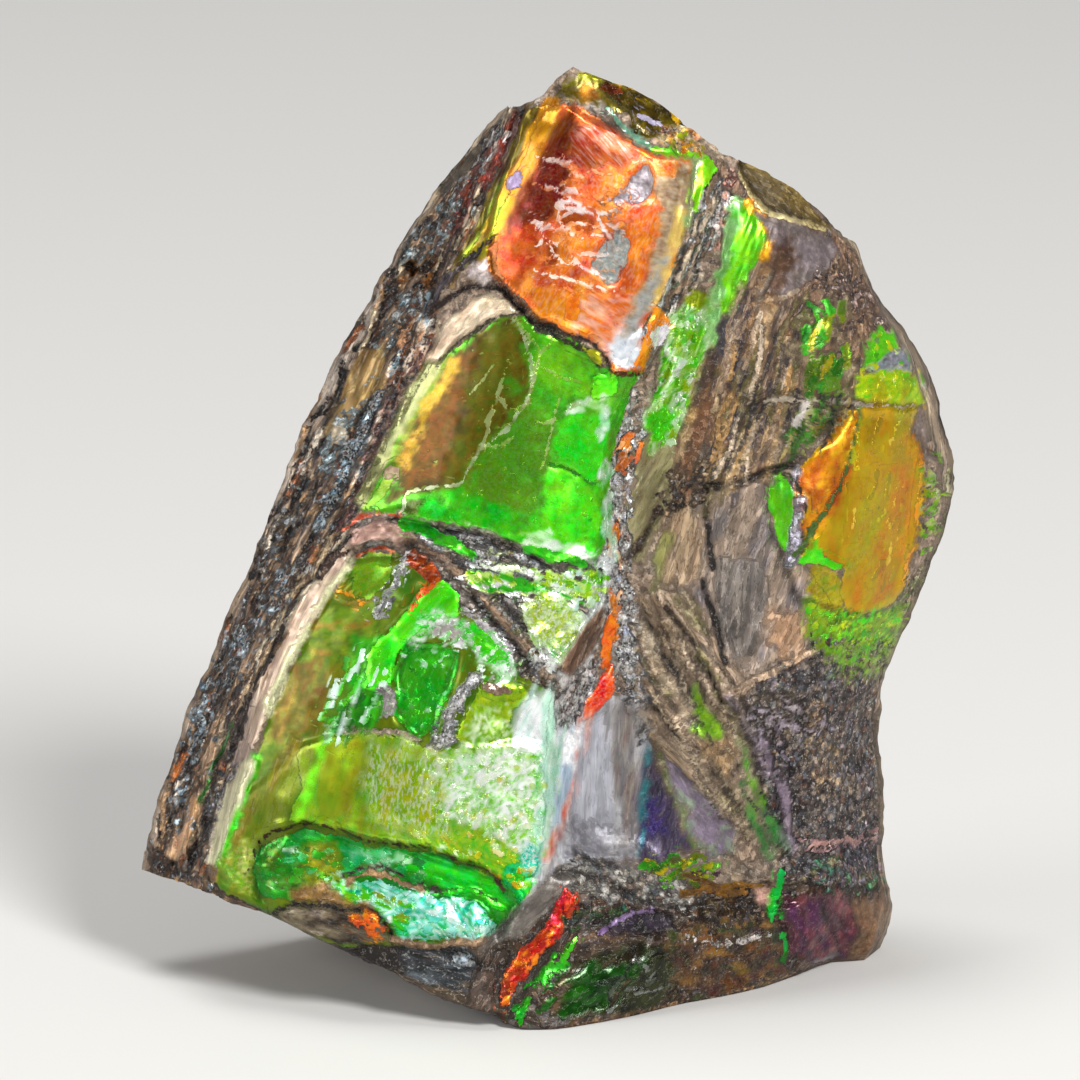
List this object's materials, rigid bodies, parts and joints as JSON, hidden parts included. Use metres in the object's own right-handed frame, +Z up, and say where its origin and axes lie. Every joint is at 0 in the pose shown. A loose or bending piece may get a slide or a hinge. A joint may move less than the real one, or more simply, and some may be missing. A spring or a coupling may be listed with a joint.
{
  "type": "ammolite specimen",
  "caption": "Broken piece of fossil ammonite shell with an iridescent nacre ridge on brown shale, standing on a flat foot.",
  "frame": {"origin": "under the middle of the piece, at the level that it rests on", "axes": "+Z up, -Y toward the front with the nacre ridge, +X to the right seen from the front"},
  "size_m": [0.0482, 0.0273, 0.0542],
  "materials": {
    "shale_and_shell": "brown shale with layers of glossy iridescent aragonite nacre in green, yellow, orange and violet"
  },
  "bodies": {
    "root": {"ammolite_specimen": "shale_and_shell"}
  },
  "joints": []
}
